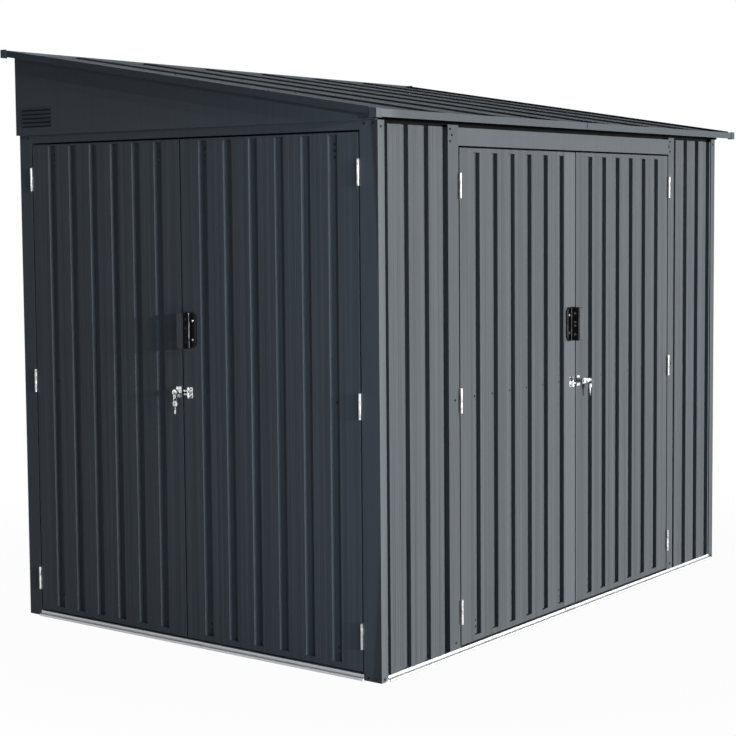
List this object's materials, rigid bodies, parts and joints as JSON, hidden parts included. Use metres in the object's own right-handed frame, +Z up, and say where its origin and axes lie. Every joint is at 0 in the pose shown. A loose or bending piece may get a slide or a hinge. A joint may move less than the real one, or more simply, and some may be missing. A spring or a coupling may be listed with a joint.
{
  "type": "metal storage shed",
  "caption": "Pent-roof metal storage shed of grooved painted steel sheet, with hinged double doors in the long front and in one end, galvanised base track and louvred gables.",
  "frame": {"origin": "middle of the footprint that the roof covers, at ground level", "axes": "+X runs along the long front, with the end doors at -X; +Y from the low front eave to the high back; +Z up"},
  "size_m": [2.418, 1.629, 1.9948],
  "materials": {
    "painted_steel": "satin anthracite paint on profiled sheet steel",
    "galvanised_steel": "bright galvanised folded steel",
    "black_plastic": "black moulded plastic with a fine grain",
    "bright_steel": "bright plated steel",
    "grey_plastic": "grey moulded plastic close to the paint"
  },
  "bodies": {
    "shed": {"base_front": "galvanised_steel", "base_back": "galvanised_steel", "base_left": "galvanised_steel", "base_right": "galvanised_steel", "front_left_post": "painted_steel", "front_right_post": "painted_steel", "back_left_post": "painted_steel", "back_right_post": "painted_steel", "front_left_panel": "painted_steel", "front_right_panel": "painted_steel", "back_wall": "painted_steel", "right_wall": "painted_steel", "front_left_jamb": "painted_steel", "front_right_jamb": "painted_steel", "front_lintel": "painted_steel", "left_header": "painted_steel", "front_top_rail": "painted_steel", "back_top_rail": "painted_steel", "right_top_rail": "painted_steel", "mid_rails": "painted_steel", "left_gable": "painted_steel", "right_gable": "painted_steel", "upper_back_panel": "painted_steel", "roof_sheets": "painted_steel", "left_roof_trim": "painted_steel", "right_roof_trim": "painted_steel", "eave_fascia": "painted_steel", "back_roof_trim": "painted_steel", "roof_corner_caps": "grey_plastic", "roof_beams": "painted_steel", "front_frame_hinges": "bright_steel", "end_frame_hinges": "bright_steel"},
    "front_left_leaf": {"front_left_door": "painted_steel", "front_left_door_rails": "painted_steel", "front_left_door_hinges": "bright_steel", "front_handle": "black_plastic", "front_hasp": "bright_steel"},
    "front_right_leaf": {"front_right_door": "painted_steel", "front_right_door_rails": "painted_steel", "front_right_door_hinges": "bright_steel", "front_lock": "bright_steel"},
    "end_near_leaf": {"end_near_door": "painted_steel", "end_near_door_rails": "painted_steel", "end_near_door_hinges": "bright_steel", "end_handle": "black_plastic", "end_hasp": "bright_steel"},
    "end_back_leaf": {"end_back_door": "painted_steel", "end_back_door_rails": "painted_steel", "end_back_door_hinges": "bright_steel", "end_lock": "bright_steel"}
  },
  "joints": [
    {"name": "front_left_hinge", "type": "hinge", "parent": "shed", "child": "front_left_leaf", "pos_m": [-0.706, -0.7665, 0.8215], "axis": [0, 0, -1], "range_deg": [0, 120]},
    {"name": "front_right_hinge", "type": "hinge", "parent": "shed", "child": "front_right_leaf", "pos_m": [0.727, -0.7665, 0.8215], "axis": [0, 0, 1], "range_deg": [0, 120]},
    {"name": "end_near_hinge", "type": "hinge", "parent": "shed", "child": "end_near_leaf", "pos_m": [-1.14, -0.6905, 0.841], "axis": [0, 0, 1], "range_deg": [0, 120]},
    {"name": "end_back_hinge", "type": "hinge", "parent": "shed", "child": "end_back_leaf", "pos_m": [-1.14, 0.7455, 0.841], "axis": [0, 0, -1], "range_deg": [0, 120]}
  ]
}
